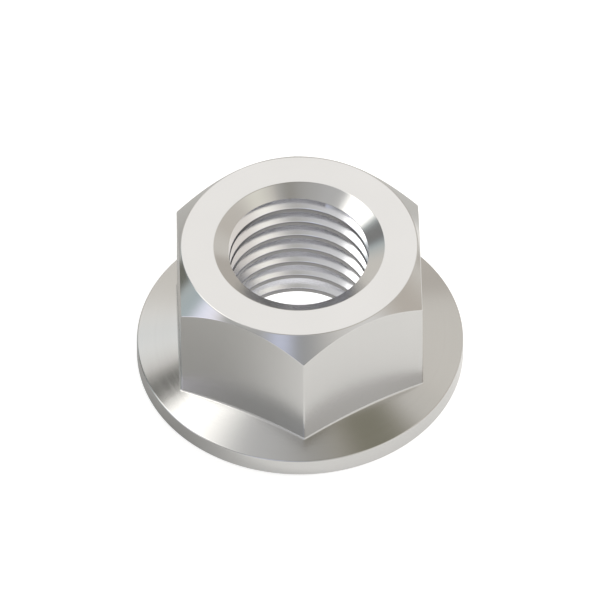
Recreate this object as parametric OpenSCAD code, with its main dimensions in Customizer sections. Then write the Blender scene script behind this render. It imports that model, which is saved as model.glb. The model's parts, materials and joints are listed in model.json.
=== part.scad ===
// Hex flange nut: one forged and turned piece, with a hexagon, a crown and a collar in one.
// The origin is the centre of the bearing face, and +Z runs along the thread to the crown.
// One upright corner of the hexagon points along -Y. All lengths are millimetres.

/* [Thread] */
// Nominal diameter of the thread
thread_d = 16; // [12:0.5:17]
// Pitch of the thread
thread_pitch = 2; // [1:0.25:2.5]
// Diameter of the countersinks at the two end faces
countersink_d = 17; // [16:0.1:19]
// Included angle of the countersinks
countersink_angle = 120; // [90:1:130]

/* [Hexagon] */
// Width across the flats
across_flats = 24; // [23.6:0.1:26]
// Height from the bearing face to the crown face
nut_h = 16; // [12:0.1:20]
// Diameter of the flat crown face
crown_d = 23.5; // [20:0.1:23.8]
// Slope of the crown's chamfer, from level
crown_angle = 47; // [20:1:55]
// Radius on the six upright corners
corner_r = 0.2; // [0.1:0.05:1]

/* [Flange] */
// Diameter of the flange
flange_d = 32.4; // [30:0.1:40]
// Height of the flange's upright rim
rim_h = 2; // [1:0.1:4]
// Slope of the flange's upper face, from level
flange_angle = 18; // [12:1:30]

/* [Edges] */
// Radius on the turned edges
edge_r = 0.2; // [0.1:0.05:0.4]

/* [Hidden] */
$fn = 96;

// Truncating the sharp thread form leaves this crest diameter in a nut.
thread_crest_d = thread_d - 5 / 4 * sqrt(3) / 2 * thread_pitch;
bore_r = thread_crest_d / 2;
countersink_r = countersink_d / 2;
countersink_depth = (countersink_r - bore_r) / tan(countersink_angle / 2);

corner_reach = across_flats / sqrt(3);
crown_r = crown_d / 2;
crown_drop = (corner_reach - crown_r) * tan(crown_angle);

flange_r = flange_d / 2;
flange_top_r = bore_r;
flange_top_z = rim_h + (flange_r - flange_top_r) * tan(flange_angle);

// How far a cutting shape runs past the face that it cuts
overrun = 1;
// How far the arc of a rounded edge crosses the sides that it joins
arc_lap = 0.0002;

function unit(v) = v / norm(v);

// The waste between a sharp corner of an outline and the arc of radius r that rounds it.
// The outline leaves the corner towards the points a and b. The waste reaches out past the corner,
// and the arc crosses both sides by arc_lap, so that no film of metal is left along them.
module corner_waste(corner, a, b, r) {
    to_a = unit(a - corner);
    to_b = unit(b - corner);
    inwards = unit(to_a + to_b);
    half = acos(to_a * inwards);
    run = r / tan(half);
    centre = corner + inwards * r / sin(half);
    difference() {
        polygon([corner - inwards * r, corner + to_a * run, centre, corner + to_b * run]);
        translate(centre) circle(r = r + arc_lap);
    }
}

// A polar point of the plan
function polar(reach, angle) = [reach * cos(angle), reach * sin(angle)];

// The hexagon in plan, with its upright corners rounded
module hexagon_plan() {
    difference() {
        rotate(30) circle(r = corner_reach, $fn = 6);
        for (angle = [30 : 60 : 330])
            corner_waste(
                polar(corner_reach, angle),
                polar(corner_reach, angle - 60),
                polar(corner_reach, angle + 60),
                corner_r
            );
    }
}

// Half the section of the turned crown: level on top, then the chamfer down past the corners
module crown_section() {
    brim_r = corner_reach + overrun;
    brim_z = nut_h - crown_drop - overrun * tan(crown_angle);
    crown_edge = [crown_r, nut_h];
    difference() {
        polygon([[0, rim_h / 2], [brim_r, rim_h / 2], [brim_r, brim_z], crown_edge, [0, nut_h]]);
        corner_waste(crown_edge, [brim_r, brim_z], [0, nut_h], edge_r);
    }
}

// The wrenching body: a hexagonal bar under the turned crown
module wrench_body() {
    intersection() {
        linear_extrude(nut_h) hexagon_plan();
        rotate_extrude() crown_section();
    }
}

// Half the section of the flange: a level bearing face, an upright rim and a sloping upper face
module flange_section() {
    foot = [flange_r, 0];
    rim = [flange_r, rim_h];
    top = [flange_top_r, flange_top_z];
    difference() {
        polygon([[0, 0], foot, rim, top, [0, flange_top_z]]);
        corner_waste(foot, [0, 0], rim, edge_r);
        corner_waste(rim, foot, top, edge_r);
    }
}

module flange() {
    rotate_extrude() flange_section();
}

// Half the section of a countersink's waste, seen with the end face at height 0 and the hole below
module countersink_section() {
    mouth = [countersink_r, 0];
    throat = [bore_r, -countersink_depth];
    union() {
        polygon([[0, throat[1]], throat, mouth, [countersink_r, overrun], [0, overrun]]);
        corner_waste(mouth, throat, [countersink_r + overrun, 0], edge_r);
    }
}

// The hole at the thread's crest diameter, countersunk at both ends
module thread_hole() {
    translate([0, 0, -overrun]) cylinder(r = bore_r, h = nut_h + 2 * overrun);
    translate([0, 0, nut_h]) rotate_extrude() countersink_section();
    mirror([0, 0, 1]) rotate_extrude() countersink_section();
}

module flange_nut() {
    color("silver")
        difference() {
            union() {
                wrench_body();
                flange();
            }
            thread_hole();
        }
}

flange_nut();
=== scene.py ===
"""A bright steel hex flange nut with a true right-hand thread, dressed over its solid frame."""

import json
import logging
import math
from dataclasses import dataclass
from enum import Enum

import bmesh
import bpy
from mathutils import Euler, Matrix, Vector


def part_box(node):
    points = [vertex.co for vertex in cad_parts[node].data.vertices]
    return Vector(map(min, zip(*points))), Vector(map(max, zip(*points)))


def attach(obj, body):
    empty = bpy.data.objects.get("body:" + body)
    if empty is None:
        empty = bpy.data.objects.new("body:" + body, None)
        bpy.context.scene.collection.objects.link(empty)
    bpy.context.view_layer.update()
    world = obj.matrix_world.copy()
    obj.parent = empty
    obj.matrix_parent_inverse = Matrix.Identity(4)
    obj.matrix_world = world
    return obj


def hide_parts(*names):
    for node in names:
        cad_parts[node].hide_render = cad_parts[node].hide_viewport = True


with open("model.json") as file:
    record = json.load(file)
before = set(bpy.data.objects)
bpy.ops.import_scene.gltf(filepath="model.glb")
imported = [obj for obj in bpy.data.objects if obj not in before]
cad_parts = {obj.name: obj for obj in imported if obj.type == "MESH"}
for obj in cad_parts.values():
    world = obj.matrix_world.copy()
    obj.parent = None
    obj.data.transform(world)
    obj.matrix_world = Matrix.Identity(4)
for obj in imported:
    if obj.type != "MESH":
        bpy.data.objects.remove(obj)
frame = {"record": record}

LOG = logging.getLogger("hex_flange_nut")
MM = 0.001
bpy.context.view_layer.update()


class Zone(Enum):
    """The parts of the nut's skin that are finished in their own way, by material index."""

    TURNED = 0
    FLATS = 1
    BEARING = 2
    # Painted light: the thread's steel is painted lighter than the rest, to lift the shade in the
    # grooves.
    THREAD = 3
    # Partly the finish left by boring, partly painted shade: its steel is painted dark.
    BORE = 4


@dataclass(frozen=True)
class Corner:
    """A corner of a section: its radius from the thread's axis, its height and its rounding."""

    reach: float
    height: float
    rounding: float = 0.0
    steps: int = 0
    zone: Zone = Zone.TURNED


def rounded_section(corners: list[Corner], hold: float) -> list[tuple[float, float, Zone]]:
    """Draw a section through its corners, with an arc at each corner that has a rounding.

    Args:
        corners: The corners in order. Each zone covers the run from its corner to the next.
        hold: How far before and after each arc an extra point keeps the straight run straight.

    Returns:
        The points as (reach, height, zone of the run that starts there).
    """
    points = []
    for before, corner, after in zip([None, *corners], corners, [*corners[1:], None]):
        here = Vector((corner.reach, corner.height))
        if not corner.rounding:
            points.append((here.x, here.y, corner.zone))
            continue
        back = (Vector((before.reach, before.height)) - here).normalized()
        onward = (Vector((after.reach, after.height)) - here).normalized()
        half = back.angle(onward) / 2
        run = corner.rounding / math.tan(half)
        centre = here + (back + onward).normalized() * corner.rounding / math.sin(half)
        start = here + back * run - centre
        sweep = start.angle_signed(here + onward * run - centre)
        points.append((*(here + back * (run + hold)), before.zone))
        for step in range(corner.steps + 1):
            spoke = start.copy()
            spoke.rotate(Matrix.Rotation(-sweep * step / corner.steps, 2))
            points.append((*(centre + spoke), corner.zone))
        points.append((*(here + onward * (run + hold)), corner.zone))
    return points


@dataclass(frozen=True)
class NutSizes:
    """The sizes of the nut, in metres and radians.

    The height, the flange and the hole come from the frame. Slopes are measured from level.
    """

    height: float
    flange_reach: float
    crest_reach: float
    rim_height: float = 2.0 * MM
    flange_slope: float = math.radians(18)
    across_flats: float = 24.0 * MM
    upright_rounding: float = 0.2 * MM
    crown_reach: float = 11.75 * MM
    crown_slope: float = math.radians(47)
    countersink_reach: float = 8.5 * MM
    countersink_slope: float = math.radians(30)
    edge_rounding: float = 0.18 * MM
    arch_rounding: float = 0.2 * MM
    neck_rounding: float = 0.22 * MM
    pitch: float = 2.0 * MM
    crest_rounding: float = 0.14 * MM
    root_rounding: float = 0.14 * MM

    @classmethod
    def from_frame(cls) -> "NutSizes":
        """Read the height, the flange and the hole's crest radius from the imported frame.

        Returns:
            The nut's sizes.
        """
        low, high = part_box("flange_nut")
        mounts = {mount["name"]: mount for mount in frame["record"]["mounts"]}
        return cls(
            height=high.z - low.z,
            flange_reach=min(high.x - low.x, high.y - low.y) / 2,
            crest_reach=mounts["thread"]["dims"]["r_mm"] * MM,
        )

    @property
    def corner_reach(self) -> float:
        """Radius at which the flats would meet in sharp corners."""
        return self.across_flats / math.sqrt(3)

    @property
    def root_reach(self) -> float:
        """Radius at the bottom of the thread's groove."""
        sharp_height = math.sqrt(3) / 2 * self.pitch
        return self.crest_reach + 5 / 8 * sharp_height


class HexColumns:
    """The upright columns of the mesh: their azimuths and how far out the hexagon lies there."""

    HALF_SIXTH = math.radians(30)
    FLAT_STEPS = 34
    CORNER_STEPS = 6
    HOLD = 0.05 * MM

    def __init__(self, sizes: NutSizes) -> None:
        """Lay the columns of one sixth round an upright corner, then repeat it.

        Args:
            sizes: The nut's sizes.
        """
        self.columns = []
        for sixth in range(6):
            turn = self.HALF_SIXTH * (2 * sixth + 1)
            for azimuth, reach in self._sixth(sizes):
                self.columns.append((azimuth + turn, reach))

    def _sixth(self, sizes: NutSizes) -> list[tuple[float, float]]:
        """Lay the columns from one corner's arc up to the next corner's arc.

        Args:
            sizes: The nut's sizes.

        Returns:
            The columns as (azimuth from the corner, reach).
        """
        rounding = sizes.upright_rounding
        centre = sizes.corner_reach - rounding / math.cos(self.HALF_SIXTH)
        found = []
        for step in range(self.CORNER_STEPS + 1):
            angle = self.HALF_SIXTH * (2 * step / self.CORNER_STEPS - 1)
            point = Vector((centre + rounding * math.cos(angle), rounding * math.sin(angle)))
            found.append((math.atan2(point.y, point.x), point.length))
        apothem = sizes.across_flats / 2
        half_flat = apothem * math.tan(self.HALF_SIXTH - found[-1][0])
        inner = half_flat - self.HOLD
        along = [-inner + 2 * inner * step / self.FLAT_STEPS for step in range(self.FLAT_STEPS + 1)]
        for offset in along:
            azimuth = self.HALF_SIXTH + math.atan2(offset, apothem)
            found.append((azimuth, math.hypot(apothem, offset)))
        return found


class NutBlank:
    """The nut before it is tapped: forged, turned and countersunk, with solid metal inside."""

    HOLD = 0.03 * MM
    WELD = 1e-5 * MM
    THROAT_REACH = 6.0 * MM
    SINK_STEPS = 4
    FLANGE_STEPS = 6
    CROWN_STEPS = 5

    def __init__(self, sizes: NutSizes) -> None:
        """Keep the sizes.

        Args:
            sizes: The nut's sizes.
        """
        self.sizes = sizes
        self.columns = HexColumns(sizes).columns

    def section(self, hex_reach: float) -> list[tuple[float, float, Zone]]:
        """Draw the section from the axis below to the axis above.

        Args:
            hex_reach: Radius of the hexagon at the section's azimuth.

        Returns:
            The points as (reach, height, zone).
        """
        s = self.sizes
        pit = (s.countersink_reach - self.THROAT_REACH) * math.tan(s.countersink_slope)
        neck = s.rim_height + (s.flange_reach - hex_reach) * math.tan(s.flange_slope)
        arch = s.height - (hex_reach - s.crown_reach) * math.tan(s.crown_slope)
        edge = s.edge_rounding
        corners = [
            Corner(0.0, pit),
            Corner(self.THROAT_REACH, pit),
            Corner(s.countersink_reach, 0.0, edge, self.SINK_STEPS, Zone.BEARING),
            Corner(s.flange_reach, 0.0, edge, self.FLANGE_STEPS),
            Corner(s.flange_reach, s.rim_height, edge, self.FLANGE_STEPS),
            Corner(hex_reach, neck, s.neck_rounding, self.FLANGE_STEPS, Zone.FLATS),
            Corner(hex_reach, arch, s.arch_rounding, self.CROWN_STEPS),
            Corner(s.crown_reach, s.height, edge, self.CROWN_STEPS),
            Corner(s.countersink_reach, s.height, edge, self.SINK_STEPS),
            Corner(self.THROAT_REACH, s.height - pit),
            Corner(0.0, s.height - pit),
        ]
        return rounded_section(corners, self.HOLD)

    def build(self) -> bpy.types.Object:
        """Spin a plain section round, then settle each column on the nut's section there.

        Returns:
            The blank as an object with a closed mesh.
        """
        bm = bmesh.new()
        row_layer = bm.verts.layers.int.new("row")
        sections = [self.section(reach) for _, reach in self.columns]
        first = [bm.verts.new((reach, 0.0, height)) for reach, height, _ in sections[0]]
        for row, vert in enumerate(first):
            vert[row_layer] = row
        spokes = [bm.edges.new(pair) for pair in zip(first, first[1:])]
        count = len(self.columns)
        bmesh.ops.spin(
            bm,
            geom=first + spokes,
            cent=(0, 0, 0),
            axis=(0, 0, 1),
            angle=math.tau,
            steps=count,
            use_merge=True,
        )
        for vert in bm.verts:
            turns = math.atan2(vert.co.y, vert.co.x) / math.tau
            column = round(turns * count) % count
            azimuth = self.columns[column][0]
            reach, height, _ = sections[column][vert[row_layer]]
            vert.co = (reach * math.cos(azimuth), reach * math.sin(azimuth), height)
        for face in bm.faces:
            row = min(vert[row_layer] for vert in face.verts)
            face.material_index = sections[0][row][2].value
            face.smooth = True
        bmesh.ops.remove_doubles(bm, verts=bm.verts, dist=self.WELD)
        bmesh.ops.dissolve_degenerate(bm, edges=bm.edges, dist=self.WELD)
        bmesh.ops.recalc_face_normals(bm, faces=bm.faces)
        return mesh_object(bm, "blank")


class Tap:
    """The tap that cuts the thread: a closed right-hand screw of the metric form.

    One crest stands at CREST_HEIGHT on the azimuth CREST_AZIMUTH. The groove dies away between the
    two depths of RUN_OUT below the crown face. What lies within CREST_SKIN of the crest keeps its
    finish from boring, and its steel is painted dark as painted shade; the rest of the thread's steel
    is painted lighter, as painted light.
    """

    STEPS_PER_TURN = 120
    TURNS = 11
    CREST_STEPS = 4
    ROOT_STEPS = 3
    HOLD = 0.02 * MM
    WELD = 0.002 * MM
    FLANK_SLOPE = math.radians(30)
    CREST_AZIMUTH = math.radians(90)
    CREST_HEIGHT = 15.51 * MM
    CREST_SKIN = 0.02 * MM
    RUN_OUT = (1.25 * MM, 0.75 * MM)

    def __init__(self, sizes: NutSizes) -> None:
        """Keep the sizes.

        Args:
            sizes: The nut's sizes.
        """
        self.sizes = sizes

    def section(self) -> list[tuple[float, float, Zone]]:
        """Draw one pitch of the thread, from the middle of one crest to the next.

        Returns:
            The points as (reach, height, zone).
        """
        s = self.sizes
        crest_half = s.pitch / 8
        flank_rise = (s.root_reach - s.crest_reach) * math.tan(self.FLANK_SLOPE)
        root_low = crest_half + flank_rise
        zone = Zone.THREAD
        corners = [
            Corner(s.crest_reach, 0.0, zone=zone),
            Corner(s.crest_reach, crest_half, s.crest_rounding, self.CREST_STEPS, zone),
            Corner(s.root_reach, root_low, s.root_rounding, self.ROOT_STEPS, zone),
            Corner(s.root_reach, s.pitch - root_low, s.root_rounding, self.ROOT_STEPS, zone),
            Corner(s.crest_reach, s.pitch - crest_half, s.crest_rounding, self.CREST_STEPS, zone),
            Corner(s.crest_reach, s.pitch, zone=zone),
        ]
        return rounded_section(corners, self.HOLD)

    def build(self) -> bpy.types.Object:
        """Wind one turn, repeat it past both ends of the nut, and close the screw.

        Returns:
            The tap as an object with a closed mesh.
        """
        s = self.sizes
        start = self.CREST_HEIGHT - math.ceil(self.CREST_HEIGHT / s.pitch + 1) * s.pitch
        bm = bmesh.new()
        first = [bm.verts.new((reach, 0.0, start + height)) for reach, height, _ in self.section()]
        edges = [bm.edges.new(pair) for pair in zip(first, first[1:])]
        bmesh.ops.rotate(
            bm, verts=first, cent=(0, 0, 0), matrix=Matrix.Rotation(self.CREST_AZIMUTH, 3, "Z")
        )
        bmesh.ops.spin(
            bm,
            geom=first + edges,
            cent=(0, 0, 0),
            axis=(0, 0, 1),
            dvec=(0, 0, s.pitch / self.STEPS_PER_TURN),
            angle=math.tau,
            steps=self.STEPS_PER_TURN,
        )
        turn = [*bm.verts, *bm.edges, *bm.faces]
        for number in range(1, self.TURNS):
            copied = bmesh.ops.duplicate(bm, geom=turn)["geom"]
            copied_verts = [item for item in copied if isinstance(item, bmesh.types.BMVert)]
            bmesh.ops.translate(bm, verts=copied_verts, vec=(0, 0, s.pitch * number))
        bmesh.ops.remove_doubles(bm, verts=bm.verts, dist=self.WELD)
        rims = [edge for edge in bm.edges if edge.is_boundary]
        middle = start + s.pitch * (self.TURNS + 1) / 2
        for side in (-1, 1):
            rim = [e for e in rims if (e.verts[0].co.z - middle) * side > 0]
            grown = bmesh.ops.extrude_edge_only(bm, edges=rim)["geom"]
            tips = [item for item in grown if isinstance(item, bmesh.types.BMVert)]
            beyond = middle + side * s.pitch * (self.TURNS + 3) / 2
            bmesh.ops.pointmerge(bm, verts=tips, merge_co=(0, 0, beyond))
        self._run_out(bm)
        # Faces at the crest keep the finish left by boring, with steel painted dark as painted shade;
        # the other faces take the thread's steel, painted lighter as painted light.
        crest_skin_reach = s.crest_reach + self.CREST_SKIN
        for face in bm.faces:
            in_crest_skin = face.calc_center_median().xy.length < crest_skin_reach
            face.material_index = (Zone.BORE if in_crest_skin else Zone.THREAD).value
            face.smooth = True
        bmesh.ops.recalc_face_normals(bm, faces=bm.faces)
        return mesh_object(bm, "tap")

    def _run_out(self, bm: bmesh.types.BMesh) -> None:
        """Let the groove die away in the crown's countersink, so that it leaves no ragged end.

        Args:
            bm: The tap's mesh.
        """
        s = self.sizes
        start, end = (s.height - depth for depth in self.RUN_OUT)
        for vert in bm.verts:
            reach = vert.co.xy.length
            if reach > s.crest_reach:
                share = min(max((vert.co.z - start) / (end - start), 0.0), 1.0)
                kept = 1 - share * share * (3 - 2 * share)
                vert.co.xy = vert.co.xy * (s.crest_reach + (reach - s.crest_reach) * kept) / reach


def mesh_object(bm: bmesh.types.BMesh, name: str) -> bpy.types.Object:
    """Turn a bmesh into a linked object.

    Args:
        bm: The bmesh, which is freed.
        name: The name of the object and its mesh.

    Returns:
        The new object.
    """
    mesh = bpy.data.meshes.new(name)
    bm.to_mesh(mesh)
    bm.free()
    made = bpy.data.objects.new(name, mesh)
    bpy.context.scene.collection.objects.link(made)
    return made


def new_group(name: str, inputs: dict[str, str], outputs: dict[str, str]) -> bpy.types.NodeTree:
    """Start a shader node group with named sockets.

    Args:
        name: The group's name.
        inputs: The socket type of each input, by its name.
        outputs: The socket type of each output, by its name.

    Returns:
        The group, which holds a Group Input and a Group Output node.
    """
    group = bpy.data.node_groups.new(name, "ShaderNodeTree")
    for label, kind in inputs.items():
        group.interface.new_socket(label, in_out="INPUT", socket_type=kind)
    for label, kind in outputs.items():
        group.interface.new_socket(label, in_out="OUTPUT", socket_type=kind)
    group.nodes.new("NodeGroupInput").name = "in"
    group.nodes.new("NodeGroupOutput").name = "out"
    return group


def add_math(
    tree: bpy.types.NodeTree, operation: str, *values: bpy.types.NodeSocket | float
) -> bpy.types.NodeSocket:
    """Add a Math node.

    Args:
        tree: The tree to add it to.
        operation: The node's operation.
        values: Up to three inputs, each a socket to link or a number to set.

    Returns:
        The node's output socket.
    """
    node = tree.nodes.new("ShaderNodeMath")
    node.operation = operation
    for socket, value in zip(node.inputs, values):
        if isinstance(value, bpy.types.NodeSocket):
            tree.links.new(value, socket)
        else:
            socket.default_value = value
    return node.outputs[0]


class Marks(Enum):
    """The marks that making leaves on a surface."""

    RINGS = "rings round the axis, from turning"
    HELIX = "lines along the thread, from tapping"
    STREAKS = "streaks along the bar, from drawing"


class MarkShop:
    """The shared node groups that draw the marks of making, each built once."""

    DETAIL = 3.0
    CLOUD_DETAIL = 1.0
    STREAK_STRETCH = 0.02
    CLOUD_SIZE = 5.0 * MM

    def __init__(self, sizes: NutSizes) -> None:
        """Build the groups.

        Args:
            sizes: The nut's sizes.
        """
        self.sizes = sizes
        self.groups = {
            Marks.RINGS: self._lathe_group("turned_rings", 0.0),
            Marks.HELIX: self._lathe_group("tapped_lines", sizes.pitch),
            Marks.STREAKS: self._streak_group(),
        }
        self.cloud = self._cloud_group()

    def _start(self, name: str) -> tuple[bpy.types.NodeTree, bpy.types.NodeSocket]:
        """Start a group that reads Object coordinates from the middle of the nut.

        Args:
            name: The group's name.

        Returns:
            The group and the socket of its centred coordinates.
        """
        group = new_group(name, {"Spacing": "NodeSocketFloat"}, {"Height": "NodeSocketFloat"})
        coordinates = group.nodes.new("ShaderNodeTexCoord")
        centred = group.nodes.new("ShaderNodeMapping")
        centred.inputs["Location"].default_value = (0.0, 0.0, -self.sizes.height / 2)
        group.links.new(coordinates.outputs["Object"], centred.inputs["Vector"])
        return group, centred.outputs["Vector"]

    def _noise(self, group: bpy.types.NodeTree, place: bpy.types.NodeSocket, detail: float) -> None:
        """Add noise whose features are one Spacing apart, and put it out as the Height.

        Args:
            group: The group to add it to.
            place: The coordinates that it follows.
            detail: How many finer layers it has.
        """
        noise = group.nodes.new("ShaderNodeTexNoise")
        noise.inputs["Detail"].default_value = detail
        fineness = add_math(group, "DIVIDE", 1.0, group.nodes["in"].outputs["Spacing"])
        group.links.new(fineness, noise.inputs["Scale"])
        group.links.new(place, noise.inputs["Vector"])
        group.links.new(noise.outputs["Fac"], group.nodes["out"].inputs["Height"])

    def _lathe_group(self, name: str, lead: float) -> bpy.types.NodeTree:
        """Make the group of marks round the axis.

        Args:
            name: The group's name.
            lead: How far the marks rise in one turn to the right.

        Returns:
            The group.
        """
        group, centred = self._start(name)
        split = group.nodes.new("ShaderNodeSeparateXYZ")
        group.links.new(centred, split.inputs[0])
        across, along, up = split.outputs
        squares = add_math(group, "ADD", *(add_math(group, "MULTIPLY", s, s) for s in (across, along)))
        reach = add_math(group, "SQRT", squares)
        if lead:
            turns = add_math(group, "DIVIDE", add_math(group, "ARCTAN2", along, across), math.tau)
            wound = add_math(group, "SUBTRACT", up, add_math(group, "MULTIPLY", turns, lead))
            up = add_math(group, "PINGPONG", wound, lead / 2)
        ring = group.nodes.new("ShaderNodeCombineXYZ")
        group.links.new(reach, ring.inputs["X"])
        group.links.new(up, ring.inputs["Z"])
        self._noise(group, ring.outputs[0], self.DETAIL)
        return group

    def _streak_group(self) -> bpy.types.NodeTree:
        """Make the group of streaks that run along the bar.

        Returns:
            The group.
        """
        group, centred = self._start("drawn_streaks")
        drawn = group.nodes.new("ShaderNodeMapping")
        drawn.inputs["Scale"].default_value = (1.0, 1.0, self.STREAK_STRETCH)
        group.links.new(centred, drawn.inputs["Vector"])
        self._noise(group, drawn.outputs["Vector"], self.DETAIL)
        return group

    def _cloud_group(self) -> bpy.types.NodeTree:
        """Make the group of slow changes in the polish.

        Returns:
            The group.
        """
        group, centred = self._start("polish_clouds")
        self._noise(group, centred, self.CLOUD_DETAIL)
        return group

    def add(self, tree: bpy.types.NodeTree, marks: Marks | None, spacing: float) -> bpy.types.NodeSocket:
        """Place a group in a material.

        Args:
            tree: The material's nodes.
            marks: The marks to draw, or None for the clouds in the polish.
            spacing: How far apart the marks are, in metres.

        Returns:
            The socket of their height, from 0 to 1.
        """
        node = tree.nodes.new("ShaderNodeGroup")
        node.node_tree = self.groups[marks] if marks else self.cloud
        node.inputs["Spacing"].default_value = spacing
        return node.outputs["Height"]


@dataclass(frozen=True)
class MetalFinish:
    """A bright steel surface: its colour and gloss, and the fine marks of its making.

    The spacing and the depth of the marks are in metres. Marks without depth change only the gloss
    and the shade, each to both sides by its swing.
    """

    name: str
    colour: tuple[float, float, float]
    roughness: float
    marks: Marks
    spacing: float
    depth: float
    roughness_swing: float = 0.05
    shade_swing: float = 0.03

    def material(self, shop: MarkShop) -> bpy.types.Material:
        """Make the material.

        Args:
            shop: The shared node groups.

        Returns:
            The material.
        """
        made = bpy.data.materials.new(self.name)
        made.use_nodes = True
        tree = made.node_tree
        shader = tree.nodes["Principled BSDF"]
        shader.inputs["Metallic"].default_value = 1.0
        marks = shop.add(tree, self.marks, self.spacing)
        clouds = shop.add(tree, None, shop.CLOUD_SIZE)
        dull = add_math(tree, "MULTIPLY", add_math(tree, "ADD", marks, clouds), 0.5)
        rough = tree.nodes.new("ShaderNodeMapRange")
        tree.links.new(dull, rough.inputs["Value"])
        rough.inputs["To Min"].default_value = self.roughness - self.roughness_swing
        rough.inputs["To Max"].default_value = self.roughness + self.roughness_swing
        tree.links.new(rough.outputs["Result"], shader.inputs["Roughness"])
        shade = tree.nodes.new("ShaderNodeMix")
        shade.data_type = "RGBA"
        tree.links.new(dull, shade.inputs["Factor"])
        for socket, change in (("A", self.shade_swing), ("B", -self.shade_swing)):
            colour = [part * (1 + change) for part in self.colour]
            shade.inputs[socket].default_value = (*colour, 1.0)
        tree.links.new(shade.outputs["Result"], shader.inputs["Base Color"])
        if self.depth:
            bump = tree.nodes.new("ShaderNodeBump")
            bump.inputs["Distance"].default_value = self.depth
            tree.links.new(marks, bump.inputs["Height"])
            tree.links.new(bump.outputs["Normal"], shader.inputs["Normal"])
        return made


STEEL = (0.62, 0.615, 0.605)
# Painted light: lighter than STEEL, to lift the shade deep in the thread's grooves.
THREAD_PAINTED_LIGHT = (0.88, 0.88, 0.90)
# Painted shade: the crest's steel is painted dark; only its rougher gloss and rings come from boring.
CREST_PAINTED_SHADE = (0.24, 0.235, 0.23)
FINISHES = {
    Zone.TURNED: MetalFinish(
        "turned_steel",
        STEEL,
        roughness=0.15,
        marks=Marks.RINGS,
        spacing=0.25 * MM,
        depth=0.0006 * MM,
    ),
    Zone.FLATS: MetalFinish(
        "drawn_steel",
        STEEL,
        roughness=0.26,
        marks=Marks.STREAKS,
        spacing=0.5 * MM,
        depth=0.0,
        roughness_swing=0.03,
        shade_swing=0.02,
    ),
    Zone.BEARING: MetalFinish(
        "faced_steel",
        STEEL,
        roughness=0.22,
        marks=Marks.RINGS,
        spacing=0.4 * MM,
        depth=0.003 * MM,
    ),
    # Partly real, partly painted light: helix lines from tapping, steel painted lighter.
    Zone.THREAD: MetalFinish(
        "tapped_steel_painted_light",
        THREAD_PAINTED_LIGHT,
        roughness=0.2,
        marks=Marks.HELIX,
        spacing=0.2 * MM,
        depth=0.001 * MM,
    ),
    # Partly real, partly painted shade: rings and rougher gloss from boring, steel painted dark.
    Zone.BORE: MetalFinish(
        "bored_steel_painted_shade",
        CREST_PAINTED_SHADE,
        roughness=0.3,
        marks=Marks.RINGS,
        spacing=0.1 * MM,
        depth=0.0006 * MM,
    ),
}


class FlangeNut:
    """The whole nut: the blank, tapped and finished."""

    SHARP_ANGLE = math.radians(34)

    def __init__(self, sizes: NutSizes) -> None:
        """Keep the sizes.

        Args:
            sizes: The nut's sizes.
        """
        self.sizes = sizes

    def build(self) -> bpy.types.Object:
        """Cut the thread out of the blank, then dress what is left.

        Returns:
            The finished piece.
        """
        blank = NutBlank(self.sizes).build()
        tap = Tap(self.sizes).build()
        shop = MarkShop(self.sizes)
        for zone in Zone:
            material = FINISHES[zone].material(shop)
            blank.data.materials.append(material)
            tap.data.materials.append(material)
        cut = blank.modifiers.new("tapping", "BOOLEAN")
        cut.operation = "DIFFERENCE"
        cut.solver = "MANIFOLD"
        cut.object = tap
        depsgraph = bpy.context.evaluated_depsgraph_get()
        tapped = bpy.data.meshes.new_from_object(blank.evaluated_get(depsgraph))
        nut = bpy.data.objects.new("flange_nut_bright", tapped)
        bpy.context.scene.collection.objects.link(nut)
        for spent in (blank, tap):
            bpy.data.meshes.remove(spent.data)
        self._part_sharp_edges(tapped)
        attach(nut, "root")
        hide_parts("flange_nut")
        return nut

    def _part_sharp_edges(self, mesh: bpy.types.Mesh) -> None:
        """Mark the edges that the rounding leaves sharp, so that shading breaks there.

        Args:
            mesh: The tapped mesh.
        """
        bm = bmesh.new()
        bm.from_mesh(mesh)
        for edge in bm.edges:
            if edge.is_manifold:
                edge.smooth = edge.calc_face_angle() < self.SHARP_ANGLE
        bm.to_mesh(mesh)
        bm.free()


@dataclass(frozen=True)
class SoftPanel:
    """A soft-edged panel of light on the studio's dome, by its bearing in degrees.

    Azimuth 0 is towards +X and 90 towards +Y. The sizes are half angles.
    """

    name: str
    azimuth: float
    elevation: float
    half_width: float
    half_height: float
    softness: float
    roll: float
    colour: tuple[float, float, float]

    def directions(self) -> tuple[Vector, Vector, Vector]:
        """Work out where the panel lies.

        Returns:
            The directions to the panel's middle, along its width and along its height.
        """
        bearing = Matrix.Rotation(math.radians(self.azimuth), 3, "Z")
        bearing = bearing @ Matrix.Rotation(math.radians(-self.elevation), 3, "Y")
        bearing = bearing @ Matrix.Rotation(math.radians(self.roll), 3, "X")
        return tuple(bearing @ Vector(axis) for axis in ((1, 0, 0), (0, 1, 0), (0, 0, 1)))


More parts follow.
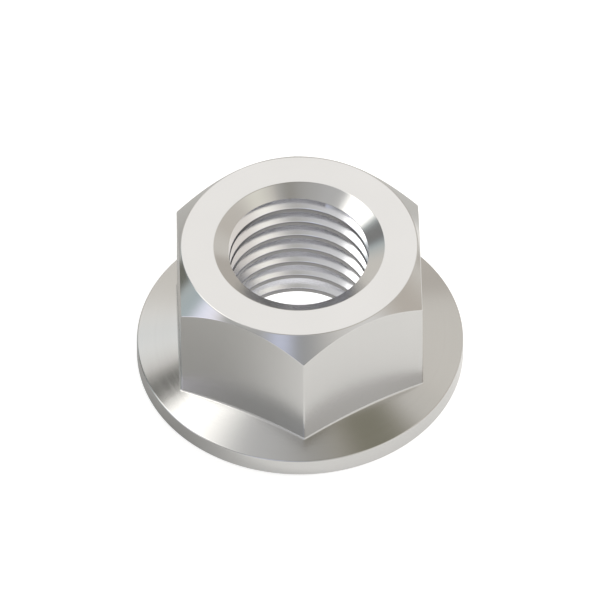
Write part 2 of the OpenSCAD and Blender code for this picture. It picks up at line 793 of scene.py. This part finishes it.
class Studio:
    """The plain pale floor and the soft light round the nut.

    The steel mirrors a floor whose glow brightens towards FALL_AZIMUTH, over the stretch FALL_REACH:
    painted light and painted shade, seen only in reflections. Within COVERED_REACH, where the hole
    looks down on it, a painted pool of light makes the floor glow brighter still. Each panel lies over
    those before it.
    """

    FLOOR_SIZE = 4.0
    FLOOR_DROP = 0.01 * MM
    OPEN_GLOW = 0.66
    MIRRORED_GLOW = (0.04, 0.42)
    FALL_REACH = (-4.0 * MM, 10.0 * MM)
    FALL_AZIMUTH = math.radians(320)
    COVERED_GLOW = 1.0
    COVERED_REACH = 10.0 * MM
    FLOOR_COLOUR = (0.55, 0.545, 0.53, 1.0)
    WARM_WALL = (0.85, 0.82, 0.77, 1.0)
    KEY_AZIMUTH = math.radians(10)
    KEY_ELEVATION = math.radians(40)
    KEY_DISTANCE = 0.3
    KEY_SIZE = 0.12
    KEY_POWER = 0.45
    PANELS = (
        SoftPanel("front_wall", 247, 16, 27, 41, 13, -34, (0.44, 0.45, 0.46)),
        SoftPanel("front_right_wall", 324, 18, 18, 19, 14, 10, (0.98, 0.97, 0.96)),
        SoftPanel("pinkish_card", 4, 23, 15, 23, 13, -22, (0.70, 0.65, 0.59)),
        SoftPanel("low_back_wall", 60, -3, 23, 24, 3, 32, (0.64, 0.60, 0.55)),
        SoftPanel("back_wall", 96, 56, 16, 28, 4, 29, (1.28, 1.26, 1.24)),
        SoftPanel("ceiling", 219, 70, 26, 27, 3, -19, (0.64, 0.64, 0.64)),
        SoftPanel("warm_lamp", 344, 59, 5, 8, 7, 19, (1.09, 1.07, 0.97)),
        SoftPanel("dark_beam", 6, 79, 20, 7, 12, -35, (0.22, 0.20, 0.14)),
        SoftPanel("lavender_strip", 247, 27, 7, 31, 6, -20, (0.78, 0.82, 1.00)),
        SoftPanel("left_lamp", 194, 12, 15, 13, 4, -5, (1.50, 1.49, 1.75)),
        SoftPanel("teal_card", 157, 26, 22, 17, 11, 11, (0.50, 0.61, 0.65)),
        SoftPanel("left_softbox", 163, 54.5, 12, 15.5, 4.5, 37, (2.40, 2.37, 2.30)),
        SoftPanel("flag", 146, 26, 7.5, 12, 3.5, 4, (0.28, 0.28, 0.28)),
        SoftPanel("flag_top", 137, 48, 4, 9, 2, 30, (0.08, 0.08, 0.07)),
        SoftPanel("dark_beam_end", 32, 71, 5, 5.5, 4, 0, (0.26, 0.25, 0.19)),
        SoftPanel("dark_low_card", 154, 6, 9, 7, 4, 9, (0.20, 0.20, 0.17)),
        SoftPanel("left_grey_card", 218, 25, 15, 8, 4, -7, (0.55, 0.56, 0.55)),
    )

    def build(self) -> None:
        """Lay the floor, light the dome and hang the key light."""
        self._floor()
        self._dome()
        self._key_light()

    def _floor(self) -> None:
        """Lay a floor that looks white, takes the nut's shadow and is clear from below."""
        bm = bmesh.new()
        bmesh.ops.create_grid(bm, x_segments=1, y_segments=1, size=self.FLOOR_SIZE / 2)
        floor = mesh_object(bm, "studio_floor")
        floor.location.z = -self.FLOOR_DROP
        floor.data.materials.append(self._floor_material())

    def _floor_material(self) -> bpy.types.Material:
        """Make the floor's material: plain paper with a glow, and nothing when seen from below.

        Returns:
            The material.
        """
        made = bpy.data.materials.new("floor_white")
        made.use_nodes = True
        tree = made.node_tree
        tree.nodes.clear()
        paper = tree.nodes.new("ShaderNodeBsdfDiffuse")
        paper.inputs["Color"].default_value = self.FLOOR_COLOUR
        glow = tree.nodes.new("ShaderNodeEmission")
        tree.links.new(self._floor_glow(tree), glow.inputs["Strength"])
        both = tree.nodes.new("ShaderNodeAddShader")
        tree.links.new(paper.outputs[0], both.inputs[0])
        tree.links.new(glow.outputs[0], both.inputs[1])
        clear = tree.nodes.new("ShaderNodeBsdfTransparent")
        two_sided = tree.nodes.new("ShaderNodeMixShader")
        below = tree.nodes.new("ShaderNodeNewGeometry").outputs["Backfacing"]
        tree.links.new(below, two_sided.inputs["Fac"])
        tree.links.new(both.outputs[0], two_sided.inputs[1])
        tree.links.new(clear.outputs[0], two_sided.inputs[2])
        out = tree.nodes.new("ShaderNodeOutputMaterial")
        tree.links.new(two_sided.outputs[0], out.inputs["Surface"])
        return made

    def _floor_glow(self, tree: bpy.types.NodeTree) -> bpy.types.NodeSocket:
        """Work out how brightly the floor glows, apart from the light that it takes.

        Args:
            tree: The floor material's nodes.

        Returns:
            The socket of the glow's strength.
        """
        path = tree.nodes.new("ShaderNodeLightPath")
        seen = path.outputs["Is Camera Ray"]
        mirrored = add_math(
            tree, "MAXIMUM", path.outputs["Is Glossy Ray"], path.outputs["Is Transmission Ray"]
        )
        place = tree.nodes.new("ShaderNodeTexCoord").outputs["Object"]
        along = tree.nodes.new("ShaderNodeVectorMath")
        along.operation = "DOT_PRODUCT"
        tree.links.new(place, along.inputs[0])
        along.inputs[1].default_value = (math.cos(self.FALL_AZIMUTH), math.sin(self.FALL_AZIMUTH), 0)
        # Painted light and shade: the glow that the steel mirrors brightens towards FALL_AZIMUTH.
        fall = tree.nodes.new("ShaderNodeMapRange")
        fall.interpolation_type = "SMOOTHSTEP"
        tree.links.new(along.outputs["Value"], fall.inputs["Value"])
        fall.inputs["From Min"].default_value = self.FALL_REACH[0]
        fall.inputs["From Max"].default_value = self.FALL_REACH[1]
        fall.inputs["To Min"].default_value = self.MIRRORED_GLOW[0]
        fall.inputs["To Max"].default_value = self.MIRRORED_GLOW[1]
        seen_glow = add_math(tree, "MULTIPLY", seen, self.OPEN_GLOW)
        mirrored_glow = add_math(tree, "MULTIPLY", mirrored, fall.outputs["Result"])
        open_glow = add_math(tree, "MAXIMUM", mirrored_glow, seen_glow)
        # Painted light: within COVERED_REACH, under the hole, the floor glows brighter for the camera
        # and the steel.
        spot = tree.nodes.new("ShaderNodeVectorMath")
        spot.operation = "LENGTH"
        tree.links.new(place, spot.inputs[0])
        covered = add_math(tree, "LESS_THAN", spot.outputs["Value"], self.COVERED_REACH)
        either = add_math(tree, "MAXIMUM", mirrored, seen)
        covered_glow = add_math(
            tree, "MULTIPLY", covered, add_math(tree, "MULTIPLY", either, self.COVERED_GLOW)
        )
        return add_math(tree, "MAXIMUM", open_glow, covered_glow)

    def _panel_group(self) -> bpy.types.NodeTree:
        """Make the node group that lays one soft panel over the light behind it.

        Returns:
            The group.
        """
        directions = ("Ray", "Facing", "Side", "Top")
        group = new_group(
            "soft_panel",
            {
                "Behind": "NodeSocketColor",
                "Colour": "NodeSocketColor",
                **{label: "NodeSocketVector" for label in directions},
                "Half Width": "NodeSocketFloat",
                "Half Height": "NodeSocketFloat",
                "Softness": "NodeSocketFloat",
            },
            {"Colour": "NodeSocketColor"},
        )
        given = group.nodes["in"].outputs
        shares = []
        for label in directions[1:]:
            dot = group.nodes.new("ShaderNodeVectorMath")
            dot.operation = "DOT_PRODUCT"
            group.links.new(given["Ray"], dot.inputs[0])
            group.links.new(given[label], dot.inputs[1])
            shares.append(dot.outputs["Value"])
        ahead, side, top = shares
        past_side = add_math(group, "SUBTRACT", add_math(group, "ABSOLUTE", side), given["Half Width"])
        past_top = add_math(group, "SUBTRACT", add_math(group, "ABSOLUTE", top), given["Half Height"])
        fade = group.nodes.new("ShaderNodeMapRange")
        fade.interpolation_type = "SMOOTHSTEP"
        group.links.new(add_math(group, "MAXIMUM", past_side, past_top), fade.inputs["Value"])
        group.links.new(add_math(group, "MULTIPLY", given["Softness"], -1.0), fade.inputs["From Min"])
        group.links.new(given["Softness"], fade.inputs["From Max"])
        fade.inputs["To Min"].default_value = 1.0
        fade.inputs["To Max"].default_value = 0.0
        in_front = add_math(group, "GREATER_THAN", ahead, 0.0)
        cover = add_math(group, "MULTIPLY", in_front, fade.outputs["Result"])
        mix = group.nodes.new("ShaderNodeMix")
        mix.data_type = "RGBA"
        group.links.new(cover, mix.inputs["Factor"])
        group.links.new(given["Behind"], mix.inputs["A"])
        group.links.new(given["Colour"], mix.inputs["B"])
        group.links.new(mix.outputs["Result"], group.nodes["out"].inputs["Colour"])
        return group

    def _dome(self) -> None:
        """Light the world with the dome and its panels, white behind the nut."""
        world = bpy.data.worlds.new("studio_dome")
        bpy.context.scene.world = world
        world.use_nodes = True
        tree = world.node_tree
        tree.nodes.clear()
        group = self._panel_group()
        ray = tree.nodes.new("ShaderNodeTexCoord").outputs["Generated"]
        light = None
        for panel in self.PANELS:
            node = tree.nodes.new("ShaderNodeGroup")
            node.node_tree = group
            node.label = panel.name
            if light:
                tree.links.new(light, node.inputs["Behind"])
            else:
                node.inputs["Behind"].default_value = self.WARM_WALL
            tree.links.new(ray, node.inputs["Ray"])
            node.inputs["Colour"].default_value = (*panel.colour, 1.0)
            for label, direction in zip(("Facing", "Side", "Top"), panel.directions()):
                node.inputs[label].default_value = direction
            node.inputs["Half Width"].default_value = math.sin(math.radians(panel.half_width))
            node.inputs["Half Height"].default_value = math.sin(math.radians(panel.half_height))
            node.inputs["Softness"].default_value = math.sin(math.radians(panel.softness))
            light = node.outputs["Colour"]
        path = tree.nodes.new("ShaderNodeLightPath")
        behind = tree.nodes.new("ShaderNodeMix")
        behind.data_type = "RGBA"
        tree.links.new(path.outputs["Is Camera Ray"], behind.inputs["Factor"])
        tree.links.new(light, behind.inputs["A"])
        behind.inputs["B"].default_value = (1.0, 1.0, 1.0, 1.0)
        background = tree.nodes.new("ShaderNodeBackground")
        tree.links.new(behind.outputs["Result"], background.inputs["Color"])
        out = tree.nodes.new("ShaderNodeOutputWorld")
        tree.links.new(background.outputs[0], out.inputs["Surface"])

    def _key_light(self) -> None:
        """Hang a soft lamp to the right, which lights the floor and leaves no spot on the steel."""
        lamp = bpy.data.lights.new("key_light", "AREA")
        lamp.shape = "DISK"
        lamp.size = self.KEY_SIZE
        lamp.energy = self.KEY_POWER
        hung = bpy.data.objects.new("key_light", lamp)
        bpy.context.scene.collection.objects.link(hung)
        facing = Euler((0.0, math.pi / 2 - self.KEY_ELEVATION, self.KEY_AZIMUTH)).to_matrix().to_4x4()
        hung.matrix_world = facing @ Matrix.Translation((0.0, 0.0, self.KEY_DISTANCE))
        hung.visible_glossy = False


@dataclass(frozen=True)
class PhotoCamera:
    """The photograph's view: a distant camera, so nearly free of perspective."""

    elevation: float = math.radians(48.796)
    turn: float = math.radians(-1.4526)
    roll: float = math.radians(-0.4668)
    frame_width: float = 0.059544
    aim: tuple[float, float, float] = (0.0, 0.0, 0.008)
    right_of_aim: float = 0.025 * MM
    below_aim: float = 0.078 * MM
    distance: float = 0.4
    clip_end: float = 10.0

    def build(self) -> bpy.types.Object:
        """Set up the camera as the scene's own.

        Returns:
            The camera.
        """
        lens = bpy.data.cameras.new("photo_camera")
        lens.type = "ORTHO"
        lens.ortho_scale = self.frame_width
        lens.clip_end = self.clip_end
        camera = bpy.data.objects.new("photo_camera", lens)
        bpy.context.scene.collection.objects.link(camera)
        facing = Euler((math.pi / 2 - self.elevation, 0.0, self.turn)).to_matrix().to_4x4()
        facing = facing @ Matrix.Rotation(self.roll, 4, "Z")
        step = Vector((self.right_of_aim, -self.below_aim, self.distance))
        place = Vector(self.aim) + facing.to_3x3() @ step
        camera.matrix_world = Matrix.Translation(place) @ facing
        bpy.context.scene.camera = camera
        return camera


def main() -> None:
    """Build the nut, its studio and its camera."""
    logging.basicConfig(level=logging.INFO)
    bpy.context.scene.view_settings.view_transform = "Standard"
    sizes = NutSizes.from_frame()
    nut = FlangeNut(sizes).build()
    LOG.info("%s: %d faces", nut.name, len(nut.data.polygons))
    Studio().build()
    PhotoCamera().build()


if __name__ == "__main__":
    main()
